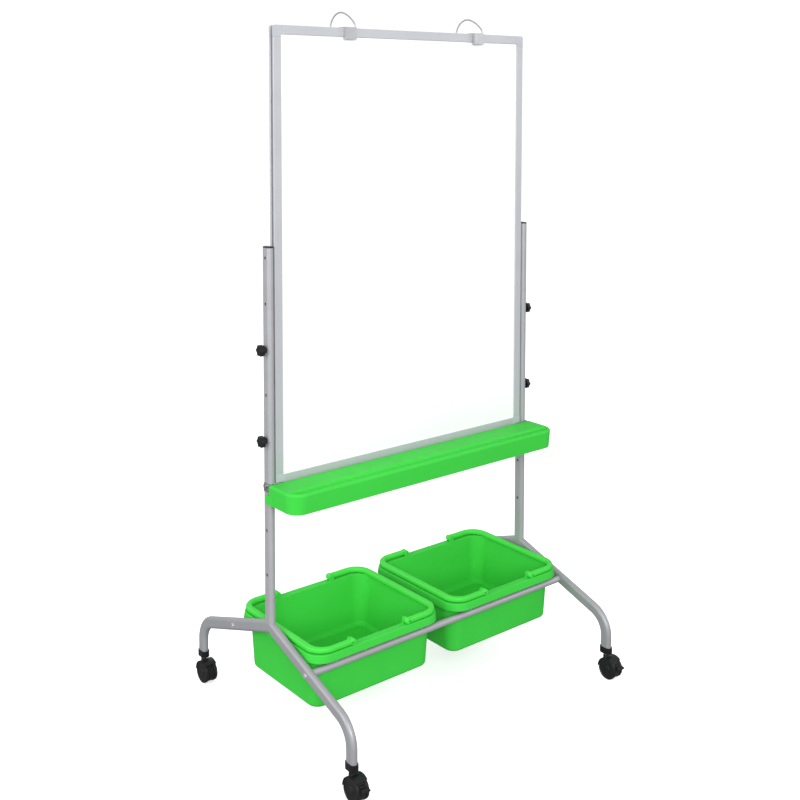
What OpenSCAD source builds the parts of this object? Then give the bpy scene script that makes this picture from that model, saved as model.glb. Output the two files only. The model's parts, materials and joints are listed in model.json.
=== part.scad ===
// Mobile easel for a classroom or playroom. Two uprights on castored legs carry a double-sided
// dry-erase board that slides up and down, a pen tray, and two lift-out storage tubs on rails.
// Frame: +Z is up, +X is to the right of someone facing the front, and the front faces -Y.
// The origin is on the floor, under the centre of the whole easel.

/* [Uprights] */
// Distance between the uprights' centre lines
upright_spacing = 770; // [740:1:800]
// Height of the uprights' upper ends above the floor
upright_top = 1081; // [1070:1:1095]
// Long side of the flat-oval tube, front to back
tube_depth = 28; // [26:0.5:30]
// Short side of the flat-oval tube, left to right
tube_width = 16; // [15:0.5:17]
// Wall of the flat-oval tube
tube_wall = 1.5; // [1.2:0.1:2]
// Distance between two adjusting holes
hole_pitch = 100; // [98:1:102]
// Diameter of an adjusting hole
hole_d = 7; // [6.8:0.1:8]
// Distance from the upper end of an upright to its first hole
first_hole_drop = 22; // [18:1:26]

/* [Legs and rails] */
// How far each foot stands in front of or behind its upright
foot_reach = 300; // [290:1:320]
// Height where the legs' centre lines meet the upright
junction_z = 242; // [238:1:250]
// Slope of the straight part of a leg, in degrees
leg_slope = 18.7; // [17:0.1:20]
// Bend radius of a leg's centre line
bend_r = 60; // [55:1:65]
// Height of the cut end of a leg
foot_z = 62; // [60:0.5:64]
// Distance of each cross rail from the uprights' plane
rail_y = 147.5; // [147:0.5:149]
// Diameter of a cross rail
rail_d = 15.5; // [15:0.5:15.5]

/* [Board] */
// Height of the board's frame
board_h = 1000; // [900:5:1050]
// Height of the board's lower edge above the floor, at its lowest setting
board_z = 558.5; // [556:0.5:564]
// Gap between the board and each upright
board_gap = 3; // [2.5:0.5:3.5]
// Width of a frame bar, seen from the front
bar_face = 20; // [20:0.5:22]
// Depth of a frame bar, front to back
bar_depth = 18; // [18:0.5:19]
// Length of a corner piece along each edge
corner_len = 25; // [24:0.5:30]

/* [Pen tray] */
// Length of the tray at its upper edge
tray_len = 798; // [798:1:804]
// Depth of the tray, front to back
tray_depth = 100; // [96:1:110]
// Height of the tray's upper edge above the floor
tray_top = 566; // [564:0.5:568]
// Height of the tray
tray_h = 46; // [45:0.5:47]

/* [Tubs] */
// Distance of each tub's centre from the middle of the easel
tub_x = 196; // [194:0.5:198]
// Length of a tub's skirt, left to right
tub_len = 360; // [356:1:361]
// Depth of a tub's skirt, front to back
tub_depth = 320; // [318:1:322]
// Height of a tub's floor above the ground
tub_bottom = 95; // [90:1:105]
// Reach of a bail handle from its pivot
handle_reach = 99; // [95:1:101]

/* [Casters] */
// Diameter of a caster wheel
wheel_d = 50; // [48:0.5:50]
// Width across a pair of wheels
caster_width = 30; // [30:0.5:34]
// Distance from a swivel axis to its axle
trail = 15; // [14:0.5:16]

/* [Chart hooks] */
// Place of the left hook's centre along the board
left_hook_x = -174; // [-200:1:-100]
// Place of the right hook's centre along the board
right_hook_x = 215; // [150:1:230]
// Diameter of the hook wire
wire_d = 4; // [3:0.1:4]

/* [Hidden] */
$fn = 48;
hull_fn = 32;
slack = 1;              // how far a cutting shape passes the surface it cuts
fit_gap = 0.3;          // gap between faces that slide or rest on each other
pin_gap = 0.06;         // radial gap of a running pin
mid_gap = 0.1;          // gap round a plug in a tube
weld_step = 0.04;       // how much slimmer a leg's straight part is than its bend
weld_lap = 0.5;         // how far the straight part reaches into the bend

// The uprights stand a little behind the middle of the footprint, because the casters trail forwards.
upright_y = 17;
upright_x = upright_spacing / 2;
inner_x = upright_x - tube_width / 2;
outer_x = upright_x + tube_width / 2;
hole_count = 8;
tray_hole = 5;
upper_knob_hole = 2;
lower_knob_hole = 4;
thread_d = 6;
bolt_hole_d = 6.6;

rail_drop = 1.1;        // how far the rails lie below the legs' centre lines
rail_z = junction_z - rail_y * tan(leg_slope) - rail_drop;
rail_top = rail_z + rail_d / 2;
rail_wall = 1.2;
bend_z = junction_z - (foot_reach - bend_r) * tan(leg_slope) - bend_r / cos(leg_slope);
straight_len = (foot_reach - bend_r + bend_r * sin(leg_slope)) / cos(leg_slope);
insert_len = 20;
head_d = 12;
head_h = 4;

board_half = inner_x - board_gap;
board_top = board_z + board_h;
lip = 3;                // wall of a frame bar in front of and behind the panel
panel_groove = 12;      // depth from the bar's outer edge to the bottom of its panel groove
panel_inset = 13;
skin = 0.8;
core_t = bar_depth - 2 * lip - 2 * skin - 0.4;
slot_lip = 2;
slot_mouth = 8;
slot_depth = 6;
slot_inner = 14;
nut_len = 18;

tray_back = -tube_depth / 2 - 2;
tray_front = tray_back - tray_depth;
tray_z = tray_top - tray_h;
tray_wall = 3;
tray_draft = 3.5;
groove_back = tray_front + 35;
groove_front = tray_front + 8;
groove_end = 13;        // from the tray's end to the groove's
groove_depth = 5.5;
ear_h = 22;
bracket_t = 1.5;
bracket_reach = 38;
bracket_gap = 0.2;
screw_x = inner_x - 12;
screw_z = tray_top - 13;
screw_r = 2;
ear_t = 4;
boss_half = 8;

tub_top = 223.5;
skirt_h = 17.5;
skirt_flare = 2.5;      // how far the skirt's lower edge stands out past the rim
tub_wall = 2.5;
rim_r = 42;
grip_out = 176;
pivot_x = grip_out - handle_reach;
pivot_z = tub_top + 7.5;
pivot_r = 4;
boss_r = 7;
bar_t = 12;
grip_w = 16;
grip_corner = 46;
arm_inner = 145;
arm_outer = 158;
arm_skin = 3;           // left over the end of each pivot hole
pivot_ear_r = 6.5;
pivot_ear_t = 6;
rib_x = [-120, -40, 40, 120];
rib_t = 3;
rib_in = 137.5;
rib_out = 152;

cap_z = 57;
cap_top = 72;
cap_wall = 2.2;
stem_r = 4;
stem_top = 90;
stem_bottom = 30;
wheel_r = wheel_d / 2;
axle_z = wheel_r;
axle_r = 3;
core_half = 6.5;        // half the width of the housing between the wheels
wheel_in = 7;
fender_r = wheel_r + 0.5;
fender_t = 1.6;
fender_half = caster_width / 2 + 0.5;
lever_r = 21;
lever_angle = 150;

clip_w = 30.5;
clip_t = 1.6;
clip_front = 18;
clip_drop = 25;
wire_y = -13.7;
wire_x = 13;            // distance from the clip's middle to the wire
wire_low = -18;
wire_straight = 3;      // height above the board where the wire starts to bend
// Bends of the hook wire as [radius, heading at the end], turning towards the back.
hook_bends = [[14, 45], [92, 15], [40, -75], [7, -250]];

knob_r = 13;
knob_in = outer_x + 6.5;
knob_out = knob_in + 10;

silver = [0.66, 0.66, 0.68];
light_metal = [0.80, 0.82, 0.84];
green = [0.31, 0.87, 0.32];
black = [0.10, 0.10, 0.11];
grey = [0.72, 0.73, 0.74];
steel = [0.75, 0.75, 0.77];
white = [0.97, 0.97, 0.97];

function hole_z(i) = upright_top - first_hole_drop - i * hole_pitch;

// ---- shared shapes ----

// Everything is drawn about the uprights' plane and moved here into the easel's own frame.
module placed() {
  translate([0, upright_y, 0]) children();
}

module rod_x(r, length) {
  rotate([0, 90, 0]) cylinder(r = r, h = length, center = true);
}

module rod_y(r, length) {
  rotate([90, 0, 0]) cylinder(r = r, h = length, center = true);
}

// Draws a Y-Z outline and gives it a length along X.
module along_x(length) {
  rotate([90, 0, 90]) linear_extrude(length, center = true) children();
}

// Draws an X-Z outline and gives it a length along Y.
module along_y(length) {
  rotate([90, 0, 0]) linear_extrude(length, center = true) children();
}

module both_sides() {
  for (side = [-1, 1]) {
    translate([side * upright_x, 0, 0]) children();
  }
}

// Flat oval with its long side along Y.
module oval(depth, width) {
  square([width, depth - width], center = true);
  for (end = [-1, 1]) {
    translate([0, end * (depth - width) / 2]) circle(d = width);
  }
}

module rounded_rect(length, depth, r) {
  square([length - 2 * r, depth], center = true);
  square([length, depth - 2 * r], center = true);
  for (i = [-1, 1], j = [-1, 1]) {
    translate([i * (length / 2 - r), j * (depth / 2 - r)]) circle(r = r);
  }
}

module box(low, high) {
  translate(low) cube(high - low);
}

// ---- uprights and legs ----

// The solid followed by a leg's centre line, for the leg on the +Y side.
module leg_solid(depth, width, extra) {
  translate([0, 0, junction_z]) rotate([-90 - leg_slope, 0, 0]) {
    translate([0, 0, -tube_depth]) linear_extrude(straight_len + tube_depth + weld_lap) {
      oval(depth - weld_step, width - weld_step);
    }
  }
  translate([0, foot_reach - bend_r, bend_z]) rotate([90, 0, 90]) {
    rotate_extrude(angle = 90 - leg_slope) {
      translate([bend_r, 0]) rotate(90) oval(depth, width);
    }
  }
  translate([0, foot_reach, foot_z - extra]) linear_extrude(bend_z - foot_z + extra) {
    oval(depth, width);
  }
}

module leg() {
  color(silver) difference() {
    leg_solid(tube_depth, tube_width, 0);
    leg_solid(tube_depth - 2 * tube_wall, tube_width - 2 * tube_wall, slack);
    box([-tube_width, -2 * tube_depth, 0], [tube_width, 0, upright_top]);
    translate([0, rail_y, rail_z]) rod_x(bolt_hole_d / 2, tube_width + 2 * slack);
  }
}

// The part of the rear leg's solid that lies on its own side of the upright's middle plane.
module leg_half() {
  intersection() {
    leg_solid(tube_depth, tube_width + mid_gap, 0);
    box([-tube_width, 0, 0], [tube_width, foot_reach, upright_top]);
  }
}

module upright() {
  color(silver) difference() {
    translate([0, 0, junction_z]) linear_extrude(upright_top - junction_z) {
      difference() {
        oval(tube_depth, tube_width);
        oval(tube_depth - 2 * tube_wall, tube_width - 2 * tube_wall);
      }
    }
    leg_half();
    mirror([0, 1, 0]) leg_half();
    for (i = [0 : hole_count - 1]) {
      translate([0, 0, hole_z(i)]) rod_x(hole_d / 2, tube_width + 2 * slack);
    }
  }
}

module upright_caps() {
  color(black) placed() both_sides() {
    translate([0, 0, upright_top]) linear_extrude(3) oval(tube_depth, tube_width);
    translate([0, 0, upright_top - 12]) linear_extrude(12) {
      oval(tube_depth - 2 * tube_wall - mid_gap, tube_width - 2 * tube_wall - mid_gap);
    }
  }
}

module left_upright() {
  placed() translate([-upright_x, 0, 0]) upright();
}

module right_upright() {
  placed() translate([upright_x, 0, 0]) upright();
}

module left_rear_leg() {
  placed() translate([-upright_x, 0, 0]) leg();
}

module left_front_leg() {
  placed() translate([-upright_x, 0, 0]) mirror([0, 1, 0]) leg();
}

module right_rear_leg() {
  placed() translate([upright_x, 0, 0]) leg();
}

module right_front_leg() {
  placed() translate([upright_x, 0, 0]) mirror([0, 1, 0]) leg();
}

// ---- cross rails ----

module rail(y) {
  color(silver) placed() translate([0, y, rail_z]) difference() {
    rod_x(rail_d / 2, 2 * inner_x);
    rod_x(rail_d / 2 - rail_wall, 2 * inner_x + 2 * slack);
  }
}

module front_rail() {
  rail(-rail_y);
}

module rear_rail() {
  rail(rail_y);
}

module at_rail_ends() {
  placed() for (side = [0, 1], y = [-rail_y, rail_y]) {
    mirror([side, 0, 0]) translate([0, y, rail_z]) children();
  }
}

module rail_inserts() {
  color(steel) at_rail_ends() difference() {
    translate([inner_x - insert_len / 2, 0, 0]) rod_x(rail_d / 2 - rail_wall - mid_gap / 2, insert_len);
    translate([inner_x - insert_len / 2, 0, 0]) rod_x(thread_d / 2 + pin_gap, insert_len + slack);
  }
}

module rail_bolts() {
  shank = tube_width + insert_len - 4;
  color(steel) at_rail_ends() {
    translate([outer_x - shank / 2, 0, 0]) rod_x(thread_d / 2, shank);
    difference() {
      translate([outer_x + head_h / 2, 0, 0]) rod_x(head_d / 2, head_h);
      translate([outer_x + head_h, 0, 0]) rotate([0, 90, 0]) {
        cylinder(d = 4.6, h = 4, center = true, $fn = 6);
      }
    }
  }
}

// ---- pen tray ----

module tray_plan(length, front, r) {
  depth = tray_back - front;
  translate([-length / 2 + r, front]) square([length - 2 * r, depth]);
  translate([-length / 2, front + r]) square([length, depth - r]);
  for (side = [-1, 1]) {
    translate([side * (length / 2 - r), front + r]) circle(r = r);
  }
}

module tray_shell() {
  hull() {
    translate([0, 0, tray_top - 1]) linear_extrude(1) {
      tray_plan(tray_len, tray_front, 38, $fn = 64);
    }
    translate([0, 0, tray_z]) linear_extrude(1) {
      tray_plan(tray_len - 2 * tray_draft, tray_front + 5, 32, $fn = 64);
    }
  }
}

module pen_tray() {
  ear_x = outer_x + fit_gap;
  inside = tray_len / 2 - tray_draft - tray_wall;
  color(green) placed() difference() {
    union() {
      difference() {
        tray_shell();
        // hollow underside, deeper under the ledge than under the groove
        translate([0, 0, tray_z - slack]) linear_extrude(tray_h - groove_depth - tray_wall + slack) {
          intersection() {
            tray_plan(2 * inside, tray_front + 5 + tray_wall, 29);
            translate([-tray_len, -200]) square([2 * tray_len, 200 + tray_back - tray_wall]);
          }
        }
        box([-inside, groove_back + tray_wall, tray_z],
            [inside, tray_back - tray_wall, tray_top - tray_wall]);
        // pen groove, which follows the tray's round front corners
        translate([0, 0, tray_top - groove_depth]) linear_extrude(groove_depth + slack) {
          intersection() {
            tray_plan(tray_len - 2 * groove_end, groove_front, 30);
            translate([-tray_len, -200]) square([2 * tray_len, 200 + groove_back]);
          }
        }
      }
      for (side = [0, 1]) {
        mirror([side, 0, 0]) {
          // ear that wraps the outer side of the upright
          box([ear_x, tray_back - 12, tray_z], [ear_x + ear_t, -1, tray_z + ear_h]);
          // screw boss on the inside of the back wall
          box([screw_x - boss_half, tray_back - 14, screw_z - 9],
              [screw_x + boss_half, tray_back - 1, tray_top - 1]);
        }
      }
    }
    for (side = [-1, 1]) {
      translate([side * screw_x, tray_back - 6, screw_z]) rod_y(screw_r + mid_gap / 2, 13);
    }
  }
}

module tray_brackets() {
  z0 = tray_top - 20;
  y0 = tray_back + bracket_gap;
  color(steel) placed() for (side = [0, 1]) {
    mirror([side, 0, 0]) difference() {
      union() {
        box([outer_x, y0, z0], [outer_x + bracket_t, 9, tray_top - 1]);
        box([outer_x + bracket_t - bracket_reach, y0, z0],
            [outer_x + bracket_t, y0 + bracket_t, tray_top - 1]);
      }
      translate([outer_x, 0, hole_z(tray_hole)]) rod_x(bolt_hole_d / 2, 4 * bracket_t);
      translate([screw_x, y0, screw_z]) rod_y(screw_r + fit_gap, 4 * bracket_t);
    }
  }
}

module tray_bolts() {
  shank = tube_width + bracket_t + 2.4;
  color(steel) placed() for (side = [0, 1]) {
    mirror([side, 0, 0]) translate([outer_x + bracket_t, 0, hole_z(tray_hole)]) {
      translate([-shank / 2, 0, 0]) rod_x(thread_d / 2, shank);
      translate([1.75, 0, 0]) rod_x(5.5, 3.5);
    }
  }
}

// Thin nuts on the inner side of the uprights, between the upright and the board.
module tray_nuts() {
  thickness = 2.2;
  color(steel) placed() for (side = [0, 1]) {
    mirror([side, 0, 0]) translate([inner_x - thickness / 2, 0, hole_z(tray_hole)]) {
      difference() {
        rotate([0, 90, 0]) cylinder(d = 11, h = thickness, center = true, $fn = 6);
        rod_x(thread_d / 2 + pin_gap, thickness + slack);
      }
    }
  }
}

module tray_screws() {
  y0 = tray_back + bracket_gap + bracket_t;
  color(steel) placed() for (side = [-1, 1]) {
    translate([side * screw_x, y0, screw_z]) {
      translate([0, -6, 0]) rod_y(screw_r, 12);
      translate([0, 1, 0]) rod_y(3.6, 2);
    }
  }
}

// ---- board ----

// Section of a frame bar: x runs inwards from the board's edge, y is the depth.
module bar_section() {
  difference() {
    translate([0, -bar_depth / 2]) square([bar_face, bar_depth]);
    translate([-slack, -slot_mouth / 2]) square([slot_lip + 2 * slack, slot_mouth]);
    translate([slot_lip, -slot_inner / 2]) square([slot_depth, slot_inner]);
    translate([panel_groove, -bar_depth / 2 + lip]) square([bar_face, bar_depth - 2 * lip]);
  }
}

module stile() {
  color(light_metal) placed() translate([-board_half, 0, board_z + corner_len]) {
    linear_extrude(board_h - 2 * corner_len) bar_section();
  }
}

module frame_left() {
  stile();
}

module frame_right() {
  mirror([1, 0, 0]) stile();
}

// A bar along X, for the top or the bottom of the board.
module cross_bar(z, tilt) {
  color(light_metal) placed() translate([0, 0, z]) rotate([0, tilt, 0]) {
    linear_extrude(2 * (board_half - corner_len), center = true) bar_section();
  }
}

module frame_top() {
  cross_bar(board_top, 90);
}

module frame_bottom() {
  cross_bar(board_z, -90);
}

// The lower left corner piece; the others are mirrored.
module corner_piece() {
  r = 6;
  difference() {
    along_y(bar_depth) {
      translate([r, 0]) square([corner_len - r, bar_face]);
      translate([0, r]) square([bar_face, corner_len - r]);
      translate([r, r]) circle(r = r);
    }
    box([panel_groove, -bar_depth / 2 + lip, panel_groove],
        [corner_len + slack, bar_depth / 2 - lip, corner_len + slack]);
    box([-slack, -slot_mouth / 2, -slack], [slot_lip + slack, slot_mouth / 2, corner_len + slack]);
    box([slot_lip, -slot_inner / 2, -slack], [slot_lip + slot_depth, slot_inner / 2, corner_len + slack]);
  }
}

module frame_corners() {
  color(grey) placed() translate([0, 0, board_z + board_h / 2]) {
    for (i = [0, 1], k = [0, 1]) {
      mirror([i, 0, 0]) mirror([0, 0, k]) translate([-board_half, 0, -board_h / 2]) corner_piece();
    }
  }
}

module sheet(y0, y1) {
  placed() box([-board_half + panel_inset, y0, board_z + panel_inset],
               [board_half - panel_inset, y1, board_top - panel_inset]);
}

module board_core() {
  color("tan") sheet(-core_t / 2, core_t / 2);
}

module front_panel() {
  color(white) sheet(-core_t / 2 - skin, -core_t / 2);
}

module rear_panel() {
  color(white) sheet(core_t / 2, core_t / 2 + skin);
}

// ---- height knobs ----

module at_knob(side, hole) {
  placed() mirror([side < 0 ? 1 : 0, 0, 0]) translate([0, 0, hole_z(hole)]) children();
}

module knob(side, hole) {
  lobes = 6;
  color(black) at_knob(side, hole) difference() {
    union() {
      translate([(outer_x + fit_gap + knob_in) / 2, 0, 0]) rod_x(7, knob_in - outer_x - fit_gap);
      translate([(knob_in + knob_out) / 2, 0, 0]) along_x(knob_out - knob_in) {
        circle(r = knob_r - 2);
        for (i = [0 : lobes - 1]) {
          rotate(i * 360 / lobes) translate([knob_r - 4, 0]) circle(r = 4);
        }
      }
      translate([knob_out, 0, 0]) rod_x(7.5, 2);
    }
    translate([outer_x, 0, 0]) rod_x(thread_d / 2 + 0.02, 2 * (knob_out - 4 - outer_x));
  }
}

module stud(side, hole) {
  inner_end = board_half - slot_lip - slot_depth + 0.5;
  outer_end = knob_out - 4.2;
  color(steel) at_knob(side, hole) {
    translate([(inner_end + outer_end) / 2, 0, 0]) rod_x(thread_d / 2, outer_end - inner_end);
  }
}

module left_upper_knob() {
  knob(-1, upper_knob_hole);
}

module left_upper_stud() {
  stud(-1, upper_knob_hole);
}

module left_lower_knob() {
  knob(-1, lower_knob_hole);
}

module left_lower_stud() {
  stud(-1, lower_knob_hole);
}

module right_upper_knob() {
  knob(1, upper_knob_hole);
}

module right_upper_stud() {
  stud(1, upper_knob_hole);
}

module right_lower_knob() {
  knob(1, lower_knob_hole);
}

module right_lower_stud() {
  stud(1, lower_knob_hole);
}

// Nuts that the board's side channels slide past.
module slide_nuts() {
  x0 = board_half - slot_lip - slot_depth + fit_gap;
  x1 = board_half - slot_lip - fit_gap;
  half = slot_inner / 2 - fit_gap;
  color(steel) for (side = [-1, 1], hole = [upper_knob_hole, lower_knob_hole]) {
    at_knob(side, hole) difference() {
      box([x0, -half, -nut_len / 2], [x1, half, nut_len / 2]);
      translate([x1, 0, 0]) rod_x(thread_d / 2 + pin_gap, 4 * slot_depth);
    }
  }
}

// ---- chart hooks ----

function heading(i) = i == 0 ? 90 : hook_bends[i - 1][1];
function bend_step(i, turn) = [sin(heading(i)) - sin(turn), cos(turn) - cos(heading(i))];
function wire_point(i) = i == 0 ? [wire_y, wire_straight]
                       : wire_point(i - 1) + hook_bends[i - 1][0] * bend_step(i - 1, heading(i));

// Stations along the wire as [y, z, heading], every 12 degrees or less of bend.
function bend_stations(i) = let (
  total = heading(i + 1) - heading(i),
  steps = ceil(-total / 12)
) [
  for (k = [1 : steps]) let (
    turn = heading(i) + total * k / steps,
    p = wire_point(i) + hook_bends[i][0] * bend_step(i, turn)
  ) [p[0], p[1], turn]
];

module hook_ring(x) {
  sides = 16;
  r = wire_d / 2;
  stations = concat(
    [[wire_y, wire_low, 90], [wire_y, wire_straight, 90]],
    [for (i = [0 : len(hook_bends) - 1], s = bend_stations(i)) s]
  );
  points = [
    for (s = stations, k = [0 : sides - 1]) let (a = 360 * k / sides)
      [r * sin(a), s[0] - r * cos(a) * sin(s[2]), s[1] + r * cos(a) * cos(s[2])]
  ];
  last = sides * (len(stations) - 1);
  walls = [
    for (i = [0 : len(stations) - 2], k = [0 : sides - 1]) let (j = (k + 1) % sides)
      [i * sides + k, (i + 1) * sides + k, (i + 1) * sides + j, i * sides + j]
  ];
  ends = [[for (k = [0 : sides - 1]) k], [for (k = [0 : sides - 1]) last + sides - 1 - k]];
  color(steel) placed() translate([x + wire_x, 0, board_top]) polyhedron(points, concat(walls, ends));
}

module hook_clip(x) {
  inner = bar_depth / 2 + fit_gap;
  back = inner + clip_t;
  color(steel) placed() translate([x, 0, board_top]) difference() {
    along_x(clip_w) {
      translate([-clip_front, fit_gap]) square([clip_front + back, clip_t]);
      translate([inner, -clip_drop + 3]) square([clip_t, clip_drop - 3 + fit_gap + clip_t]);
      translate([-clip_front, -clip_drop]) square([clip_front - inner, clip_drop + fit_gap + clip_t]);
    }
    translate([wire_x, wire_y, wire_low - fit_gap]) cylinder(d = wire_d + mid_gap, h = 30);
  }
}

module left_hook_clip() {
  hook_clip(left_hook_x);
}

module left_hook_ring() {
  hook_ring(left_hook_x);
}

module right_hook_clip() {
  hook_clip(right_hook_x);
}

module right_hook_ring() {
  hook_ring(right_hook_x);
}

// ---- casters ----

module caster_sockets() {
  color(black) placed() both_sides() for (end = [-1, 1]) {
    translate([0, end * foot_reach, 0]) difference() {
      union() {
        translate([0, 0, cap_z]) linear_extrude(foot_z - cap_z) {
          oval(tube_depth + 2 * cap_wall, tube_width + 2 * cap_wall);
        }
        translate([0, 0, foot_z]) linear_extrude(cap_top - foot_z) difference() {
          oval(tube_depth + 2 * cap_wall, tube_width + 2 * cap_wall);
          oval(tube_depth + mid_gap, tube_width + mid_gap);
        }
        translate([0, 0, foot_z]) linear_extrude(stem_top - foot_z) {
          oval(tube_depth - 2 * tube_wall - mid_gap, tube_width - 2 * tube_wall - mid_gap);
        }
      }
      translate([0, 0, cap_z - slack]) cylinder(r = stem_r + pin_gap, h = stem_top - cap_z + 2 * slack);
    }
  }
}

module caster_stems() {
  color(steel) placed() both_sides() for (end = [-1, 1]) {
    translate([0, end * foot_reach, 0]) {
      translate([0, 0, stem_bottom]) cylinder(r = stem_r, h = stem_top - stem_bottom);
      translate([0, 0, cap_z - 3.4]) cylinder(r = 5.5, h = 3.2);
    }
  }
}

module at_foot(side, end) {
  placed() translate([side * upright_x, end * foot_reach, 0]) children();
}

// Housing between the wheels, with a fender over them and a hub round the stem.
module housing(side, end, braked) {
  lever_y = -trail + lever_r * cos(lever_angle);
  lever_z = axle_z + lever_r * sin(lever_angle);
  color(black) at_foot(side, end) difference() {
    union() {
      translate([0, -trail, axle_z]) {
        rod_x(wheel_r - 1.5, 2 * core_half);
        rotate([90, 0, 90]) rotate_extrude(angle = 130) {
          translate([wheel_r - 4, -core_half]) square([6, 2 * core_half]);
          translate([fender_r, -fender_half]) square([fender_t, 2 * fender_half]);
        }
      }
      translate([0, 0, stem_bottom - 2]) cylinder(r = core_half, h = cap_z - 6 - stem_bottom + 2);
      if (braked) {
        translate([0, lever_y, lever_z]) rod_x(4.5, 2 * core_half);
      }
    }
    translate([0, 0, stem_bottom - 0.5]) cylinder(r = stem_r + pin_gap, h = cap_z);
    translate([0, -trail, axle_z]) rod_x(axle_r + pin_gap, 3 * core_half);
    if (braked) {
      translate([0, lever_y, lever_z]) {
        rod_x(5, 9);
        box([-4.5, -12, -9], [4.5, 0, 9]);
        rod_x(2 + pin_gap, 3 * core_half);
      }
    }
  }
}

module axle(side, end) {
  color(steel) at_foot(side, end) translate([0, -trail, axle_z]) {
    rod_x(axle_r, caster_width - 3);
  }
}

module wheel_half() {
  rotate([0, 90, 0]) rotate_extrude() {
    translate([wheel_r - 4, wheel_in]) square([2.5, caster_width / 2 - wheel_in]);
    translate([wheel_r - 1.5, wheel_in + 1]) square([1.5, caster_width / 2 - wheel_in - 2]);
    translate([axle_r + 0.02, wheel_in]) square([4, caster_width / 2 - wheel_in - 1]);
    translate([axle_r + 1, caster_width / 2 - 4.5]) square([wheel_r - axle_r - 4, 3]);
  }
}

module wheels(side, end) {
  color(black) at_foot(side, end) translate([0, -trail, axle_z]) {
    wheel_half();
    mirror([1, 0, 0]) wheel_half();
  }
}

// Toe lever, drawn about its own pivot; the pad reaches forwards past the wheels.
module brake(side, end) {
  arm = 10;
  color(black) at_foot(side, end) {
    translate([0, -trail + lever_r * cos(lever_angle), axle_z + lever_r * sin(lever_angle)]) {
      rod_x(3.6, 8.4);
      rod_x(2, 2 * core_half - 0.4);
      box([-4.2, -arm, -1.5], [4.2, 0, 1.5]);
      along_x(20) polygon([[-arm + 1, 1.5], [-arm + 1, -1.5], [-arm - 6, -4], [-arm - 6, -1]]);
    }
  }
}

module left_front_housing() {
  housing(-1, -1, true);
}

module left_front_axle() {
  axle(-1, -1);
}

module left_front_wheels() {
  wheels(-1, -1);
}

module left_front_brake() {
  brake(-1, -1);
}

module right_front_housing() {
  housing(1, -1, true);
}

module right_front_axle() {
  axle(1, -1);
}

module right_front_wheels() {
  wheels(1, -1);
}

module right_front_brake() {
  brake(1, -1);
}

module left_rear_housing() {
  housing(-1, 1, false);
}

module left_rear_axle() {
  axle(-1, 1);
}

module left_rear_wheels() {
  wheels(-1, 1);
}

module right_rear_housing() {
  housing(1, 1, false);
}

module right_rear_axle() {
  axle(1, 1);
}

module right_rear_wheels() {
  wheels(1, 1);
}

// ---- tubs ----

module slab(z, t, length, depth, r) {
  translate([0, 0, z]) linear_extrude(t) rounded_rect(length, depth, r);
}

// Tapered body of a tub between its floor and its rim, shrunk by inset on every side.
module tub_body(z0, z1, inset) {
  hull() {
    slab(z0, 0.5, 323 - 2 * inset, 262 - 2 * inset, 27 - inset, $fn = hull_fn);
    slab(z1 - 0.5, 0.5, 340 - 2 * inset, 282 - 2 * inset, 38 - inset, $fn = hull_fn);
  }
}

// Rim and skirt as one solid, shrunk by inset on every side.
module tub_skirt(z0, inset) {
  narrow = 2 * (inset + skirt_flare);
  hull() {
    slab(z0, 0.5, tub_len - 2 * inset, tub_depth - 2 * inset, rim_r + skirt_flare - inset, $fn = hull_fn);
    slab(tub_top - 0.5, 0.5, tub_len - narrow, tub_depth - narrow, rim_r - inset, $fn = hull_fn);
  }
}

module tub_ear(x, side) {
  translate([x, side * (arm_inner - 0.5 - pivot_ear_t / 2), 0]) {
    translate([0, 0, pivot_z]) rod_y(pivot_ear_r, pivot_ear_t);
    box([-pivot_ear_r, -pivot_ear_t / 2, tub_top - 1], [pivot_ear_r, pivot_ear_t / 2, pivot_z]);
    translate([0, side * (pivot_ear_t / 2 + 4), pivot_z]) rod_y(pivot_r, 8.5);
  }
}

module tub() {
  skirt_z = tub_top - skirt_h;
  rib_z = rail_top + fit_gap;
  color(green) difference() {
    union() {
      tub_body(tub_bottom, tub_top, 0);
      difference() {
        tub_skirt(skirt_z, 0);
        intersection() {
          tub_skirt(skirt_z - slack, tub_wall);
          box([-tub_len, -tub_depth, 0], [tub_len, tub_depth, tub_top - tub_wall]);
        }
      }
      // ribs under the rim, which sit on the rails
      for (x = rib_x, side = [0, 1]) {
        mirror([0, side, 0]) box([x - rib_t / 2, rib_in, rib_z], [x + rib_t / 2, rib_out, tub_top - 1]);
      }
      for (x = [-pivot_x, pivot_x], side = [-1, 1]) {
        tub_ear(x, side);
      }
    }
    tub_body(tub_bottom + tub_wall, tub_top + slack, tub_wall);
  }
}

// U-shaped bail handle folded out to the right over the rim.
module bail_handle() {
  color(green) difference() {
    union() {
      translate([0, 0, pivot_z - bar_t / 2]) linear_extrude(bar_t) intersection() {
        difference() {
          rounded_rect(2 * grip_out, 2 * arm_outer, grip_corner);
          rounded_rect(2 * (grip_out - grip_w), 2 * arm_inner, grip_corner - grip_w);
        }
        translate([pivot_x, -200]) square([200, 400]);
      }
      for (side = [-1, 1]) {
        translate([pivot_x, side * (arm_inner + arm_outer) / 2, pivot_z]) {
          rod_y(boss_r, arm_outer - arm_inner);
        }
      }
    }
    translate([pivot_x, 0, pivot_z]) rod_y(pivot_r + pin_gap, 2 * (arm_outer - arm_skin));
  }
}

module left_tub() {
  placed() translate([-tub_x, 0, 0]) tub();
}

module right_tub() {
  placed() translate([tub_x, 0, 0]) tub();
}

module left_tub_left_handle() {
  placed() translate([-tub_x, 0, 0]) mirror([1, 0, 0]) bail_handle();
}

module left_tub_right_handle() {
  placed() translate([-tub_x, 0, 0]) bail_handle();
}

module right_tub_left_handle() {
  placed() translate([tub_x, 0, 0]) mirror([1, 0, 0]) bail_handle();
}

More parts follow.
